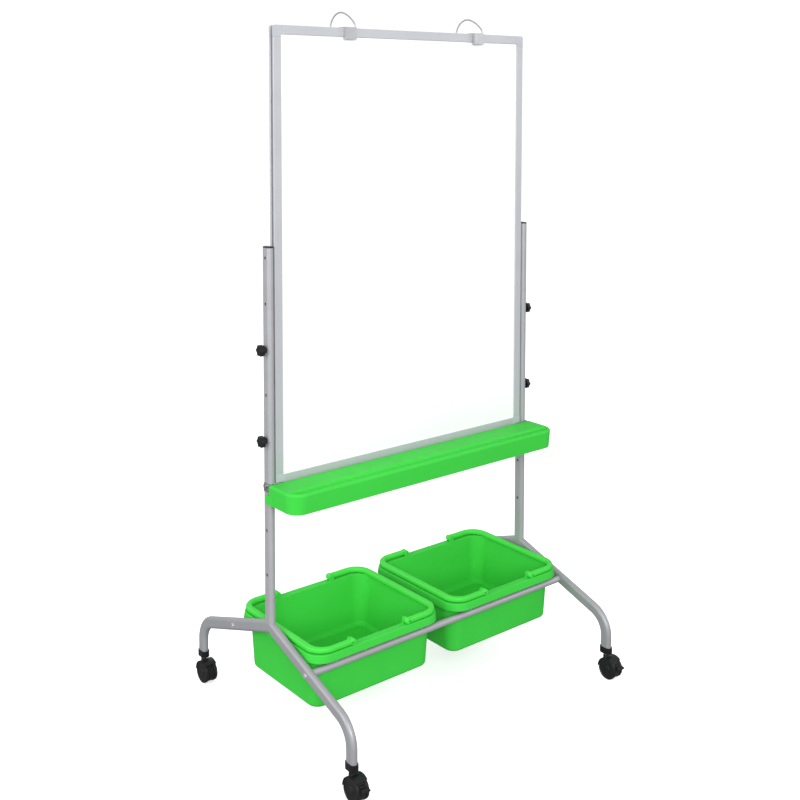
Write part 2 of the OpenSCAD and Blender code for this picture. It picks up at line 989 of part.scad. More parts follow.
module right_tub_right_handle() {
  placed() translate([tub_x, 0, 0]) bail_handle();
}

left_upright();
right_upright();
left_front_leg();
left_rear_leg();
right_front_leg();
right_rear_leg();
upright_caps();
front_rail();
rear_rail();
rail_inserts();
rail_bolts();
pen_tray();
tray_brackets();
tray_bolts();
tray_nuts();
tray_screws();
caster_sockets();
caster_stems();
slide_nuts();
board_core();
front_panel();
rear_panel();
frame_top();
frame_bottom();
frame_left();
frame_right();
frame_corners();
left_hook_clip();
left_hook_ring();
right_hook_clip();
right_hook_ring();
left_upper_knob();
left_upper_stud();
left_lower_knob();
left_lower_stud();
right_upper_knob();
right_upper_stud();
right_lower_knob();
right_lower_stud();
left_front_housing();
left_front_axle();
left_front_wheels();
left_front_brake();
right_front_housing();
right_front_axle();
right_front_wheels();
right_front_brake();
left_rear_housing();
left_rear_axle();
left_rear_wheels();
right_rear_housing();
right_rear_axle();
right_rear_wheels();
left_tub();
left_tub_left_handle();
left_tub_right_handle();
right_tub();
right_tub_left_handle();
right_tub_right_handle();
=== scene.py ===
import json
import math
import bmesh
import bpy
from mathutils import Matrix, Vector

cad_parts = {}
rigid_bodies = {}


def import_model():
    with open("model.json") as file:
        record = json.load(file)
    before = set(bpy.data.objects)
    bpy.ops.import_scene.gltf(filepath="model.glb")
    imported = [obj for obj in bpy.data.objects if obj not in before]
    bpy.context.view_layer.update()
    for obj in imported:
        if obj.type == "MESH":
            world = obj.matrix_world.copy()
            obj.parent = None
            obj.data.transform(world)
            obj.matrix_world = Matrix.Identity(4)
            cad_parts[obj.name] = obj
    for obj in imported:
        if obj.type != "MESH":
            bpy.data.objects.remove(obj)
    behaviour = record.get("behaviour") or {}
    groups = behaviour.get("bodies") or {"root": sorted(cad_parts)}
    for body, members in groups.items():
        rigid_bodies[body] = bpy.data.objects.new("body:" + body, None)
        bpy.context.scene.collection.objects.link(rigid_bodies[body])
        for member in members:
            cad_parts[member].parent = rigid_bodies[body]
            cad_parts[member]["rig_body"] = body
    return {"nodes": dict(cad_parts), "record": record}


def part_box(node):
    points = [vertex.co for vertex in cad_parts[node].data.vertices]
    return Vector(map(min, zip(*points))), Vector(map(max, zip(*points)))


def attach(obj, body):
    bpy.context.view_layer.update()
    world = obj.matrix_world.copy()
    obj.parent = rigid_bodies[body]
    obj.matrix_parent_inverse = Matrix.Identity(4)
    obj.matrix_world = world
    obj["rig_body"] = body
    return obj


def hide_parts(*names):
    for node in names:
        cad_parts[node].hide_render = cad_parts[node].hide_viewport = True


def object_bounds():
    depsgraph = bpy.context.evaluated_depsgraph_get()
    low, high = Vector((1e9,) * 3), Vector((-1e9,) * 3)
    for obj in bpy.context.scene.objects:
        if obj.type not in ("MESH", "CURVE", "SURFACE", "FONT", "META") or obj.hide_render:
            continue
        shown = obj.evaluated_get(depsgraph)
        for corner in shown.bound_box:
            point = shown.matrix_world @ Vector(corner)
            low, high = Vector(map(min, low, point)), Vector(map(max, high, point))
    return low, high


MM = 0.001
SHARP = math.radians(38)          # edges sharper than this keep a hard shading line
BEVEL_FROM = math.radians(40)     # edges sharper than this are rounded on a CAD solid
UPRIGHT_X = 385 * MM              # middle of an upright
UPRIGHT_FACE = 393 * MM           # outer face of an upright and of the legs

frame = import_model()
cad_lo, cad_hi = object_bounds()


# ---- camera, light and floor ----

def make_camera():
    cam = bpy.data.objects.new("camera", bpy.data.cameras.new("camera"))
    bpy.context.scene.collection.objects.link(cam)
    yaw, pitch, roll = math.radians(39.01), math.radians(3.91), math.radians(0.08)
    forward = Vector((math.sin(yaw) * math.cos(pitch), math.cos(yaw) * math.cos(pitch), -math.sin(pitch)))
    cam.location = (-1.69205, -2.0477, 1.40527)
    turn = forward.to_track_quat("-Z", "Y").to_matrix() @ Matrix.Rotation(roll, 3, "Z")
    cam.rotation_euler = turn.to_euler()
    cam.data.sensor_width = 36
    cam.data.lens = 51.08
    cam.data.shift_y = -0.282
    cam.data.clip_start, cam.data.clip_end = 0.05, 60
    bpy.context.scene.camera = cam


def make_light(name, spot, target, size, watts):
    data = bpy.data.lights.new(name, "AREA")
    data.shape, data.size, data.size_y = "RECTANGLE", size[0], size[1]
    data.energy = watts
    lamp = bpy.data.objects.new(name, data)
    bpy.context.scene.collection.objects.link(lamp)
    lamp.location = spot
    lamp.rotation_euler = (Vector(target) - Vector(spot)).to_track_quat("-Z", "Y").to_euler()


def make_studio():
    world = bpy.data.worlds.new("studio")
    world.use_nodes = True
    tree = world.node_tree
    back = tree.nodes["Background"]
    back.inputs["Color"].default_value = (0.985, 0.99, 1.0, 1)
    # the wall behind is lit to white, and the room round the object is a little dimmer
    wall = tree.nodes.new("ShaderNodeMapRange")
    wall.inputs["To Min"].default_value = 0.69
    wall.inputs["To Max"].default_value = 1.08
    tree.links.new(tree.nodes.new("ShaderNodeLightPath").outputs["Is Camera Ray"], wall.inputs["Value"])
    tree.links.new(wall.outputs["Result"], back.inputs["Strength"])
    bpy.context.scene.world = world
    make_light("front", (-2.0, -3.6, 2.2), (0, 0, 0.6), (2.4, 1.8), 147)
    make_light("side", (-3.8, 0.2, 1.7), (0, 0, 0.6), (2.2, 2.0), 66)
    make_light("fill", (3.2, -2.6, 2.0), (0, 0, 0.6), (2.0, 2.0), 22)
    make_light("rim", (0.6, 3.4, 3.0), (0, 0, 0.7), (3.0, 1.6), 22)
    scene = bpy.context.scene
    scene.view_settings.view_transform = "Standard"
    scene.view_settings.look = "None"
    scene.view_settings.exposure = 0
    scene.view_settings.gamma = 1


def make_floor():
    mesh = bpy.data.meshes.new("floor")
    size = 14
    corners = [(-size, -size, 0), (size, -size, 0), (size, size, 0), (-size, size, 0)]
    mesh.from_pydata(corners, [], [(0, 1, 2, 3)])
    floor = bpy.data.objects.new("floor", mesh)
    bpy.context.scene.collection.objects.link(floor)
    floor.location.z = cad_lo.z - 0.0005
    floor.data.materials.append(plain_floor())


# ---- materials ----

class Nodes:
    """Short way to add shader nodes to one material."""

    def __init__(self, name):
        self.material = bpy.data.materials.new(name)
        self.material.use_nodes = True
        self.tree = self.material.node_tree
        self.shader = self.tree.nodes["Principled BSDF"]
        self.place = self.tree.nodes.new("ShaderNodeTexCoord").outputs["Object"]

    def add(self, kind, **values):
        node = self.tree.nodes.new("ShaderNode" + kind)
        for key, value in values.items():
            setattr(node, key, value)
        return node

    def join(self, out, into):
        self.tree.links.new(out, into)

    def noise(self, scale, detail=3.0, stretch=(1, 1, 1)):
        mapping = self.add("Mapping")
        mapping.inputs["Scale"].default_value = stretch
        self.join(self.place, mapping.inputs["Vector"])
        noise = self.add("TexNoise")
        noise.inputs["Scale"].default_value = scale
        noise.inputs["Detail"].default_value = detail
        self.join(mapping.outputs["Vector"], noise.inputs["Vector"])
        return noise.outputs["Fac"]

    def remap(self, value, low, high, start=0.3, end=0.7):
        node = self.add("MapRange")
        node.inputs["From Min"].default_value = start
        node.inputs["From Max"].default_value = end
        node.inputs["To Min"].default_value = low
        node.inputs["To Max"].default_value = high
        self.join(value, node.inputs["Value"])
        return node.outputs["Result"]

    def mix(self, value, first, second):
        node = self.add("Mix", data_type="RGBA")
        node.inputs["A"].default_value = (*first, 1)
        node.inputs["B"].default_value = (*second, 1)
        self.join(value, node.inputs["Factor"])
        return node.outputs["Result"]

    def bump(self, height, strength, distance):
        node = self.add("Bump")
        node.inputs["Strength"].default_value = strength
        node.inputs["Distance"].default_value = distance
        self.join(height, node.inputs["Height"])
        self.join(node.outputs["Normal"], self.shader.inputs["Normal"])

    def set(self, **values):
        for key, value in values.items():
            self.shader.inputs[key.replace("_", " ")].default_value = value


def shaded(color, factor):
    return tuple(min(1.0, c * factor) for c in color)


def finish_material(name, color, rough, metal=0.0, spread=0.06, patch=14, grain=900, bump=0.12,
                    depth=0.00012, stretch=(1, 1, 1), specular=0.5):
    """Colour and roughness that drift a little over the surface, over a fine grain."""
    n = Nodes(name)
    drift = n.remap(n.noise(patch, 4.0), 0, 1)
    n.join(n.mix(drift, shaded(color, 1 - spread), shaded(color, 1 + spread)), n.shader.inputs["Base Color"])
    fine = n.noise(grain, 2.0, stretch)
    scuff = n.remap(n.noise(patch * 5, 6.0, stretch), rough * 0.88, rough * 1.14)
    n.join(scuff, n.shader.inputs["Roughness"])
    n.bump(fine, bump, depth)
    n.set(Metallic=metal)
    n.shader.inputs["Specular IOR Level"].default_value = specular
    return n.material


def plain_floor():
    """White sweep: bright to the camera, dimmer in the light that it throws at the object."""
    n = Nodes("floor")
    n.set(Roughness=0.9)
    seen = n.add("LightPath").outputs["Is Camera Ray"]
    n.join(n.mix(seen, (0.20, 0.20, 0.20), (0.95, 0.95, 0.95)), n.shader.inputs["Base Color"])
    n.shader.inputs["Emission Color"].default_value = (1, 1, 1, 1)
    n.join(n.remap(seen, 0.10, 0.45, 0, 1), n.shader.inputs["Emission Strength"])
    n.shader.inputs["Specular IOR Level"].default_value = 0.1
    return n.material


def board_face():
    """Glossy dry-erase face with faint wiped ghosting."""
    n = Nodes("white_board")
    haze = n.remap(n.noise(3.2, 5.0, (1, 1, 0.35)), 0, 1, 0.35, 0.75)
    n.join(n.mix(haze, (0.93, 0.935, 0.94), (0.885, 0.892, 0.90)), n.shader.inputs["Base Color"])
    n.join(n.remap(n.noise(26, 6.0, (1, 1, 0.25)), 0.26, 0.40), n.shader.inputs["Roughness"])
    n.shader.inputs["Specular IOR Level"].default_value = 0.25
    n.bump(n.noise(60, 2.0), 0.03, 0.0002)
    return n.material


def wood_core():
    n = Nodes("core")
    grain = n.remap(n.noise(90, 5.0, (0.15, 1, 1)), 0, 1)
    n.join(n.mix(grain, (0.46, 0.33, 0.20), (0.62, 0.48, 0.31)), n.shader.inputs["Base Color"])
    n.set(Roughness=0.75)
    n.bump(grain, 0.2, 0.0003)
    return n.material


def make_materials():
    made = {
        "silver": finish_material("silver", (0.375, 0.377, 0.398), 0.40, metal=0.25, spread=0.04,
                                  grain=1500, bump=0.10, depth=0.00008),
        # the legs get a darker copy of the silver paint: painted shade for the dimmer light low down near the
        # floor
        "leg_silver_painted_shade": finish_material("leg_silver_painted_shade", (0.322, 0.324, 0.343), 0.42, metal=0.25, spread=0.04,
                                      grain=1500, bump=0.10, depth=0.00008),
        "frame_aluminium": finish_material("frame_aluminium", (0.465, 0.475, 0.50), 0.42, metal=0.15,
                                           spread=0.03, grain=700, bump=0.10, depth=0.00005,
                                           stretch=(0.08, 1, 0.08)),
        "white_board": board_face(),
        "core": wood_core(),
        "green_plastic": finish_material("green_plastic", (0.046, 0.545, 0.055), 0.48, spread=0.03, patch=7,
                                         grain=1300, bump=0.14, depth=0.0001, specular=0.1),
        # the handles get a brighter copy of the tub green: painted light for the top light and sheen that the
        # handles catch
        "green_handle_painted_light": finish_material("green_handle_painted_light", (0.055, 0.62, 0.058), 0.42, spread=0.03, patch=7,
                                        grain=1300, bump=0.12, depth=0.0001, specular=0.15),
        "black_plastic": finish_material("black_plastic", (0.007, 0.007, 0.008), 0.40, spread=0.25,
                                         patch=40, grain=1600, bump=0.22, depth=0.0001, specular=0.3),
        "wheel_plastic": finish_material("wheel_plastic", (0.008, 0.008, 0.009), 0.55, spread=0.3,
                                         patch=55, grain=1100, bump=0.3, depth=0.00015, specular=0.3),
        "grey_plastic": finish_material("grey_plastic", (0.44, 0.46, 0.49), 0.42, spread=0.04,
                                        patch=30, grain=1500, bump=0.15),
        "steel": finish_material("steel", (0.42, 0.42, 0.44), 0.36, metal=1.0, spread=0.08, patch=60,
                                 grain=1400, bump=0.12, depth=0.00005),
        "bright_metal": finish_material("bright_metal", (0.46, 0.46, 0.47), 0.40, metal=0.6, spread=0.05,
                                        patch=50, grain=900, bump=0.06, depth=0.00004),
    }
    return made


# ---- building meshes ----

def new_piece(name, bm, slot, body, *nodes, finish=None):
    """Turns a bmesh into a piece: smooth shading with sharp edges, its finish, its body and its CAD nodes."""
    bmesh.ops.recalc_face_normals(bm, faces=bm.faces[:])
    for face in bm.faces:
        face.smooth = True
    for edge in bm.edges:
        if len(edge.link_faces) == 2 and edge.calc_face_angle(0) > SHARP:
            edge.smooth = False
    mesh = bpy.data.meshes.new(name)
    bm.to_mesh(mesh)
    bm.free()
    obj = bpy.data.objects.new(name, mesh)
    bpy.context.scene.collection.objects.link(obj)
    obj.data.materials.append(materials[finish or slot])
    weight = obj.modifiers.new("normals", "WEIGHTED_NORMAL")
    weight.keep_sharp = True
    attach(obj, body)
    if nodes:
        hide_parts(*nodes)
    return obj


def loft(bm, rings):
    """Skins equal rings of points one after another and caps both ends."""
    rows = [[bm.verts.new(p) for p in ring] for ring in rings]
    count = len(rows[0])
    for low, high in zip(rows, rows[1:]):
        for i in range(count):
            j = (i + 1) % count
            bm.faces.new((low[i], low[j], high[j], high[i]))
    bm.faces.new(rows[0][::-1])
    bm.faces.new(rows[-1])


def corner_points(cx, cy, r, start, steps):
    """Quarter circle of points round (cx, cy), anticlockwise from start degrees."""
    return [(cx + r * math.cos(math.radians(start + 90 * i / steps)),
             cy + r * math.sin(math.radians(start + 90 * i / steps))) for i in range(steps + 1)]


def rounded_ring(hx, y0, y1, radii, z, steps=10, cx=0.0):
    """Rounded rectangle from -hx to hx and y0 to y1. Radii: back right, back left, front left, front right."""
    a, b, c, d = radii
    flat = (corner_points(hx - a, y1 - a, a, 0, steps) + corner_points(-hx + b, y1 - b, b, 90, steps)
            + corner_points(-hx + c, y0 + c, c, 180, steps) + corner_points(hx - d, y0 + d, d, 270, steps))
    return [Vector((cx + x, y, z)) for x, y in flat]


def arc(cx, cz, r, start, end, steps):
    """Points on an arc as (offset, height) pairs."""
    return [(cx + r * math.cos(math.radians(start + (end - start) * i / steps)),
             cz + r * math.sin(math.radians(start + (end - start) * i / steps))) for i in range(steps + 1)]


def lathe_x(bm, centre, profile, steps=48):
    """Turns (radius, x) pairs about an axis along X."""
    turns = [2 * math.pi * i / steps for i in range(steps)]
    loft(bm, [[centre + Vector((x, r * math.cos(a), r * math.sin(a))) for a in turns] for r, x in profile])


def lathe(bm, centre, axis, profile, steps=32):
    """Turns (radius, distance) pairs about any axis through centre."""
    turn = Vector(axis).to_track_quat("Z", "Y").to_matrix()
    turns = [2 * math.pi * i / steps for i in range(steps)]
    loft(bm, [[centre + turn @ Vector((r * math.cos(a), r * math.sin(a), d)) for a in turns]
              for r, d in profile])


def bevelled(name, node, slot, width, segments):
    """A copy of a CAD node's solid with its sharp edges rounded."""
    bm = bmesh.new()
    bm.from_mesh(frame["nodes"][node].data)
    bmesh.ops.remove_doubles(bm, verts=bm.verts[:], dist=1e-6)
    bmesh.ops.dissolve_limit(bm, angle_limit=math.radians(1.0), verts=bm.verts[:], edges=bm.edges[:])
    sharp = [e for e in bm.edges if len(e.link_faces) == 2 and e.calc_face_angle(0) > BEVEL_FROM]
    bmesh.ops.bevel(bm, geom=sharp, offset=width * MM, offset_type="OFFSET", segments=segments, profile=0.5,
                    affect="EDGES", clamp_overlap=True)
    return new_piece(name, bm, slot, frame["nodes"][node]["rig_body"], node)


# ---- tubs ----

TUB_TOP = 223.5 * MM
TUB_WALL = 2.5 * MM
SKIRT = 17.5 * MM
SKIRT_FLARE = 2.5 * MM
RIM_HALF_DEPTH = 157.5 * MM
RIM_CORNER = 42 * MM
PIVOT_X = 77 * MM
PIN_R = 4 * MM
EAR_Y = 141.5 * MM
EAR_R = 6.5 * MM
EAR_HALF_T = 3 * MM
RIB_X = (-120, -40, 40, 120)
BODY_HALF_X, BODY_WIDENS_X = 161.5, 8.5      # the body at its floor, and what it gains up to the rim, in mm
BODY_HALF_Y, BODY_WIDENS_Y = 131, 10
BODY_CORNER, BODY_CORNER_GAINS = 27, 11
ARM_IN, ARM_OUT = 145 * MM, 158 * MM
GRIP_IN, GRIP_OUT = 160 * MM, 176 * MM
CORNER_IN, CORNER_OUT = 30 * MM, 46 * MM


def make_tub(side):
    """Moulded tub: tapered body, flat rim, flared skirt, ribs, pivot ears, all with moulded edges."""
    node = side + "_tub"
    lo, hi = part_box(node)
    cx, cy = (lo.x + hi.x) / 2, (lo.y + hi.y) / 2
    rim_x = (hi.x - lo.x) / 2 - SKIRT_FLARE
    floor, top = lo.z, TUB_TOP
    skirt = top - SKIRT
    bm = bmesh.new()
    rings = []

    def ring(half_x, half_y, r, z):
        flat = rounded_ring(half_x, -half_y, half_y, (max(r, MM),) * 4, z, 12, cx)
        rings.append([p + Vector((0, cy, 0)) for p in flat])

    def body(z, inset):
        """Ring of the tapered body at a height, shrunk by inset."""
        t = (z - floor) / (top - floor)
        ring((BODY_HALF_X + BODY_WIDENS_X * t) * MM - inset, (BODY_HALF_Y + BODY_WIDENS_Y * t) * MM - inset,
             (BODY_CORNER + BODY_CORNER_GAINS * t) * MM - inset, z)

    def rim(z, inset):
        """Ring of the rim and its flared skirt at a height, shrunk by inset."""
        flare = SKIRT_FLARE * (top - z) / SKIRT
        ring(rim_x + flare - inset, RIM_HALF_DEPTH + flare - inset, RIM_CORNER + flare - inset, z)

    foot, cove, soft, lip = 8 * MM, 11 * MM, 2.4 * MM, 1.8 * MM
    # a foot ring under the floor, then the outer wall
    for inset, rise in ((24, 1.6), (16, 1.6), (13.5, 0.6), (11, 0.0)):
        body(floor, inset * MM)
        for point in rings[-1]:
            point.z += rise * MM
    for dx, dz in arc(0, 0, foot, -90, 0, 7):
        body(floor + foot + dz, foot - dx)
    for rise in (45, 90):
        body(floor + rise * MM, 0)
    under = top - TUB_WALL
    body(under - 3 * MM, 0)
    body(under, -1.2 * MM)
    # the skirt's inner side, its lower edge and its outer side
    rim(under, TUB_WALL + MM)
    rim(under - MM, TUB_WALL)
    for inset, rise in ((1.0, 0.6), (0.8, 0.1), (0.5, 0.0), (0.15, 0.15), (0.0, 0.8)):
        rim(skirt + rise * MM, inset * TUB_WALL)
    rim(skirt + 6 * MM, 0)
    for dx, dz in arc(-soft, -soft, soft, 0, 90, 6):
        rim(top + dz, -dx)
    # the mouth and the inner wall
    for dx, dz in arc(lip, -lip, lip, 90, 180, 5):
        body(top + dz, TUB_WALL - dx)
    base = floor + TUB_WALL
    for z in (top - 30 * MM, top - 60 * MM, base + cove + 25 * MM):
        body(z, TUB_WALL)
    for dx, dz in arc(0, 0, cove, 0, -90, 8):
        body(base + cove + dz, TUB_WALL + cove - dx)
    body(base, 60 * MM)
    loft(bm, rings)
    add_tub_ears(bm, cx, cy)
    add_tub_ribs(bm, cx, cy)
    return new_piece(side + "_tub_shell", bm, "green_plastic", side + "_tub_body", node)


def add_tub_ears(bm, cx, cy):
    """Rounded ears at the four pivots, with the pins that carry the handles."""
    soft, pin_soft, reach = 1.2 * MM, 0.6 * MM, 8.2 * MM
    steps = 20
    height, base = handle_height(), TUB_TOP - MM
    slices = ((soft, -EAR_HALF_T), (soft * 0.3, -EAR_HALF_T + soft * 0.3), (0, -EAR_HALF_T + soft),
              (0, EAR_HALF_T - soft), (soft * 0.3, EAR_HALF_T - soft * 0.3), (soft, EAR_HALF_T))
    for sx in (-1, 1):
        for sy in (-1, 1):
            x, y = cx + sx * PIVOT_X, cy + sy * EAR_Y
            rings = []
            for inset, depth in slices:
                r = EAR_R - inset
                outline = [(r, base)] + arc(0, height, r, 0, 180, steps) + [(-r, base)]
                rings.append([Vector((x + dx, y + depth, z)) for dx, z in outline])
            loft(bm, rings)
            lathe(bm, Vector((x, y + sy * EAR_HALF_T, height)), (0, sy, 0),
                  [(PIN_R, -MM), (PIN_R, reach - pin_soft), (PIN_R - pin_soft, reach)], 24)


def handle_height():
    lo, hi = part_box("left_tub_left_handle")
    return (lo.z + hi.z) / 2


def add_tub_ribs(bm, cx, cy):
    """Ribs under the rim that sit on the rails."""
    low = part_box("front_rail")[1].z + 0.3 * MM
    half_t, inner, outer = 1.5 * MM, 137.6 * MM, 151.9 * MM
    for x in RIB_X:
        for sy in (-1, 1):
            y0, y1 = sorted((cy + sy * inner, cy + sy * outer))
            add_block(bm, Vector((cx + x * MM - half_t, y0, low)),
                      Vector((cx + x * MM + half_t, y1, TUB_TOP - 1.2 * MM)), 0.5 * MM)


def add_block(bm, lo, hi, soft):
    """Block with rounded edges."""
    made = bmesh.ops.create_cube(bm, size=1)
    for v in made["verts"]:
        v.co = Vector([lo[i] if v.co[i] < 0 else hi[i] for i in range(3)])
    edges = list({e for v in made["verts"] for e in v.link_edges})
    bmesh.ops.bevel(bm, geom=edges, offset=soft, offset_type="OFFSET", segments=2, profile=0.5,
                    affect="EDGES", clamp_overlap=True)


def make_handle(side, hand):
    """Bail handle: a rounded bar swept from one pivot round the rim to the other."""
    node = f"{side}_tub_{hand}_handle"
    tub_lo, tub_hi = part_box(side + "_tub")
    cx, cy = (tub_lo.x + tub_hi.x) / 2, (tub_lo.y + tub_hi.y) / 2
    flip = 1 if hand == "right" else -1
    pz = handle_height()
    half, soft, steps = 6 * MM, 4.6 * MM, 14

    # inner and outer points along half of the bar, from the pivot to the middle of the grip.
    path = [(Vector((PIVOT_X + d * MM, ARM_IN)), Vector((PIVOT_X + d * MM, ARM_OUT))) for d in (1.5, 14)]
    for i in range(steps + 1):
        a = math.radians(90 - 90 * i / steps)
        turn = Vector((math.cos(a), math.sin(a)))
        path.append((Vector((GRIP_IN - CORNER_IN, ARM_IN - CORNER_IN)) + CORNER_IN * turn,
                     Vector((GRIP_OUT - CORNER_OUT, ARM_OUT - CORNER_OUT)) + CORNER_OUT * turn))
    whole = path + [(Vector((p.x, -p.y)), Vector((q.x, -q.y))) for p, q in reversed(path)]
    bm = bmesh.new()
    rings = []
    for p, q in whole:
        width = (q - p).length
        section = []
        for u, z, first in ((width - soft, half - soft, 0), (soft, half - soft, 90),
                            (soft, soft - half, 180), (width - soft, soft - half, 270)):
            section += arc(u, z, soft, first, first + 90, 5)
        flat = [(p + (q - p) * (u / width), z) for u, z in section]
        rings.append([Vector((cx + flip * spot.x, cy + spot.y, pz + z)) for spot, z in flat])
    loft(bm, rings)
    boss, edge = 7 * MM, 2.6 * MM
    for sy in (-1, 1):
        profile = [(PIN_R + 0.1 * MM, ARM_IN)]
        profile += arc(boss - edge, ARM_IN + edge, edge, -90, 0, 4)
        profile += arc(boss - edge, ARM_OUT - edge, edge, 0, 90, 4)
        profile += [(boss * 0.3, ARM_OUT)]
        lathe(bm, Vector((cx + flip * PIVOT_X, cy, pz)), (0, sy, 0), profile, 32)
    # the handle's brighter green is painted light
    return new_piece(f"{side}_tub_{hand}_bail_handle", bm, "green_plastic", f"{side}_tub_{hand}_bail", node,
                     finish="green_handle_painted_light")


# ---- pen tray ----

TRAY_HALF = 399 * MM
TRAY_DRAFT = 3.5 * MM
TRAY_LEAN = 5 * MM
TRAY_CORNER = 38
GROOVE_HALF = 386 * MM
GROOVE_FRONT, GROOVE_BACK = 8 * MM, 35 * MM
GROOVE_DEPTH = 5.5 * MM


def make_tray():
    """Moulded tray: drafted shell, round front corners, sloped groove, ears round the uprights."""
    lo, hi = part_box("pen_tray")
    top, bottom, front = hi.z, lo.z, lo.y
    back = MM
    depth = top - bottom
    bm = bmesh.new()
    rings = []

    def outline(inset, z):
        t = (top - z) / depth
        r = (TRAY_CORNER - 6 * t) * MM - inset
        sharp = max(1.2 * MM, 2.2 * MM - inset)
        rings.append(rounded_ring(TRAY_HALF - TRAY_DRAFT * t - inset, front + TRAY_LEAN * t + inset,
                                  back - inset, (sharp, sharp, r, r), z, 14))

    # the hollow underside, then the outer wall
    for inset, rise in ((30, 34.5), (6, 34.5), (3.6, 33), (3, 29), (3, 1), (2.2, 0), (1, 0), (0.2, 0.4),
                        (0, 1.4), (0, 22)):
        outline(inset * MM, bottom + rise * MM)
    soft = 6.4 * MM
    for dx, dz in arc(soft, -soft, soft, 180, 90, 8):
        outline(dx, top + dz)

    def groove(ends, face, slope, z):
        """Ring of the groove: how far its ends, its front wall and its sloped back have come in."""
        near, far = front + GROOVE_FRONT + face, front + GROOVE_BACK - slope
        rear = 3 * MM
        r = min(30 * MM, far - near - rear - MM)
        rings.append(rounded_ring(GROOVE_HALF - ends, near, far, (rear, rear, r, r), z, 14))

    lip = 1.5 * MM
    for dx, dz in arc(-lip, -lip, lip, 90, 0, 4):
        groove(dx, dx, dx, top + dz)
    groove(0.2 * MM, 0.2 * MM, 0.5 * MM, top - 2.4 * MM)
    for step in (0, 0.3, 0.6, 0.85, 1):
        cove = 2.4 * MM
        turn = math.radians(90 * step)
        run, rise = cove * (1 - math.cos(turn)), cove * (1 - math.sin(turn))
        groove(0.4 * MM + run, 0.3 * MM + run, 0.9 * MM + run, top - GROOVE_DEPTH + rise)
    groove(8 * MM, 6 * MM, 7 * MM, top - GROOVE_DEPTH)
    loft(bm, rings)
    for sx in (-1, 1):
        add_tray_ear(bm, sx, bottom)
    return new_piece("pen_tray_moulding", bm, "green_plastic", "stand", "pen_tray")


def add_tray_ear(bm, sx, bottom):
    """Ear that wraps the outer side of an upright, with rounded free corners."""
    gap, thickness = 0.3 * MM, 4 * MM
    x0 = sx * (UPRIGHT_FACE + gap)
    x1 = x0 + sx * thickness
    y0, y1 = -11 * MM, 16 * MM
    z0, z1 = bottom, bottom + 22 * MM
    r, soft = 5 * MM, 0.9 * MM

    def ring(inset, x):
        points = [(y0, z0 + inset), (y0, z1 - inset)]
        points += arc(y1 - r, z1 - r, r - inset, 90, 0, 6) + arc(y1 - r, z0 + r, r - inset, 0, -90, 6)
        return [Vector((x, y, z)) for y, z in points]

    loft(bm, [ring(soft, x0), ring(soft * 0.3, x0 + sx * soft * 0.3), ring(0, x0 + sx * soft),
              ring(0, x1 - sx * soft), ring(soft * 0.3, x1 - sx * soft * 0.3), ring(soft, x1)])


# ---- wheels ----

def make_wheels(side, end):
    """Twin wheels with a rounded tread, a dished face and a hub cap."""
    node = f"{side}_{end}_wheels"
    lo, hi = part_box(node)
    centre = (lo + hi) / 2
    r = (hi.z - lo.z) / 2
    half = (hi.x - lo.x) / 2
    bm = bmesh.new()
    for sx in (-1, 1):
        inner, outer = 7.2 * MM, half
        profile = [(3.4 * MM, inner), (7 * MM, inner), (8 * MM, inner + 1 * MM), (r - 5 * MM, inner + 1 * MM),
                   (r - 4 * MM, inner), (r - 1.6 * MM, inner + 0.2 * MM)]
        profile += [(r - 1.6 * MM + 1.6 * MM * math.sin(math.radians(a)),
                     inner + 1.6 * MM - 1.4 * MM * math.cos(math.radians(a))) for a in (30, 60, 90)]
        profile += [(r - 1.6 * MM + 1.6 * MM * math.cos(math.radians(a)),
                     outer - 1.6 * MM + 1.6 * MM * math.sin(math.radians(a))) for a in (0, 25, 50, 75)]
        profile += [(r - 2.6 * MM, outer), (r - 3.6 * MM, outer - 0.2 * MM), (r - 4.2 * MM, outer - 1.4 * MM),
                    (r - 6 * MM, outer - 2.0 * MM), (9 * MM, outer - 2.0 * MM), (7.6 * MM, outer - 1.2 * MM),
                    (7.0 * MM, outer - 0.5 * MM), (6.0 * MM, outer - 0.2 * MM), (2.5 * MM, outer - 0.1 * MM)]
        lathe_x(bm, centre, [(radius, sx * x) for radius, x in profile], 56)
    return new_piece(f"{side}_{end}_wheel_pair", bm, "wheel_plastic", f"{side}_{end}_wheel_set", node)


# ---- bolts, hooks, caps ----

def make_rail_bolts():
    """Low domed heads with a round recess, on plain round shanks."""
    lo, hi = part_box("rail_bolts")
    z = (lo.z + hi.z) / 2
    bm = bmesh.new()
    for sx in (-1, 1):
        for y in (lo.y + 6 * MM, hi.y - 6 * MM):
            centre = Vector((sx * UPRIGHT_FACE, y, z))
            dome = [(3 * MM, -31 * MM), (3 * MM, 0), (6 * MM, 0), (6 * MM, 1.4 * MM), (5.6 * MM, 2.6 * MM),
                    (4.6 * MM, 3.5 * MM), (3.2 * MM, 4.0 * MM), (2.5 * MM, 4.0 * MM), (2.3 * MM, 3.8 * MM),
                    (2.2 * MM, 2.0 * MM)]
            lathe(bm, centre, (sx, 0, 0), dome, 36)
    return new_piece("rail_bolt_heads", bm, "steel", "stand", "rail_bolts", finish="silver")


def make_caps():
    """Domed end caps on the uprights."""
    lo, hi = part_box("upright_caps")
    top = hi.z
    cy = (lo.y + hi.y) / 2
    bm = bmesh.new()
    for sx in (-1, 1):
        cx = sx * UPRIGHT_X
        rings = []
        for inset, z in ((1.7, -15), (1.7, -3.05), (0.0, -3.0), (0.0, -1.7), (0.4, -0.8), (1.2, -0.25),
                         (2.6, 0)):
            rings.append([p + Vector((cx, cy, 0)) for p in
                          rounded_ring((8 - inset) * MM, -(14 - inset) * MM, (14 - inset) * MM,
                                       ((8 - inset) * MM,) * 4, top + z * MM, 10)])
        loft(bm, rings)
    return new_piece("upright_end_caps", bm, "black_plastic", "stand", "upright_caps")


WIRE_BENDS = ((14, 45), (92, 15), (40, -75), (7, -250))     # radius in mm and the heading at its end


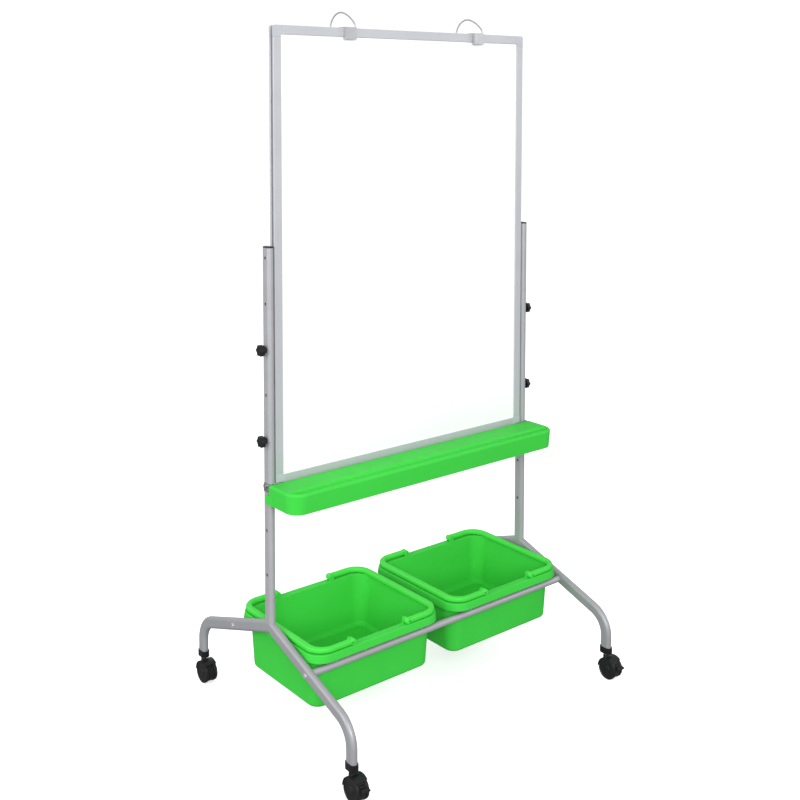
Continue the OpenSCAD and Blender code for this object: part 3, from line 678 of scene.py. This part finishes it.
def make_hook_wire(side):
    """Bent wire, round in section with a ground tip, on the clip's front."""
    lo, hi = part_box(side + "_hook_ring")
    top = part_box("frame_corners")[1].z
    cx, r = (lo.x + hi.x) / 2, (hi.x - lo.x) / 2 - 0.1 * MM
    y, z, heading = 3.3 * MM, top + 3 * MM, 90.0
    stations = [(y, top - 18 * MM, heading), (y, z, heading)]
    for radius, end in WIRE_BENDS:
        steps = max(3, int(abs(end - heading) / 5))
        for k in range(1, steps + 1):
            turn = heading + (end - heading) * k / steps
            py = y + radius * MM * (math.sin(math.radians(heading)) - math.sin(math.radians(turn)))
            pz = z + radius * MM * (math.cos(math.radians(turn)) - math.cos(math.radians(heading)))
            stations.append((py, pz, turn))
        y, z, heading = stations[-1]
    bm = bmesh.new()
    rings = []

    def ring(station, shrink, ahead):
        sy, sz, turn = station
        t = math.radians(turn)
        across = Vector((0, -math.sin(t), math.cos(t)))
        centre = Vector((cx, sy + ahead * math.cos(t), sz + ahead * math.sin(t)))
        around = [2 * math.pi * k / 20 for k in range(20)]
        rings.append([centre + r * shrink * (math.sin(a) * Vector((1, 0, 0)) + math.cos(a) * across)
                      for a in around])

    for station in stations[:-1]:
        ring(station, 1, 0)
    for shrink, ahead in ((1, -0.7), (0.85, -0.3), (0.55, 0)):
        ring(stations[-1], shrink, ahead * r)
    loft(bm, rings)
    return new_piece(side + "_hook_wire", bm, "bright_metal", side + "_hook", side + "_hook_ring")


# ---- build ----

make_camera()
make_studio()
make_floor()
materials = make_materials()

for entry in frame["record"]["subparts"]:
    target = frame["nodes"][entry["node"]]
    target.data.materials.clear()
    # the legs take the darker copy of the silver, which is painted shade
    slot = "leg_silver_painted_shade" if entry["node"].endswith("_leg") else entry["material_slot"]
    target.data.materials.append(materials[slot])

for side in ("left", "right"):
    make_tub(side)
    for hand in ("left", "right"):
        make_handle(side, hand)
    make_hook_wire(side)
    bevelled(side + "_hook_plate", side + "_hook_clip", "bright_metal", 0.45, 2)
    for level in ("upper", "lower"):
        bevelled(f"{side}_{level}_knob_grip", f"{side}_{level}_knob", "black_plastic", 0.9, 3)
    for end in ("front", "rear"):
        make_wheels(side, end)
        bevelled(f"{side}_{end}_caster_hood", f"{side}_{end}_housing", "black_plastic", 1.0, 3)
    bevelled(f"{side}_front_brake_lever_pad", f"{side}_front_brake", "black_plastic", 0.6, 2)
    bevelled(side + "_frame_bar", "frame_" + side, "frame_aluminium", 0.9, 3)

for end in ("top", "bottom"):
    bevelled(end + "_frame_bar", "frame_" + end, "frame_aluminium", 0.9, 3)
bevelled("board_corner_pieces", "frame_corners", "grey_plastic", 1.2, 3)
bevelled("caster_socket_cups", "caster_sockets", "black_plastic", 0.7, 3)
bevelled("tray_bracket_plates", "tray_brackets", "steel", 0.4, 2)
bevelled("tray_bolt_heads", "tray_bolts", "steel", 0.6, 2)
make_tray()
make_rail_bolts()
make_caps()
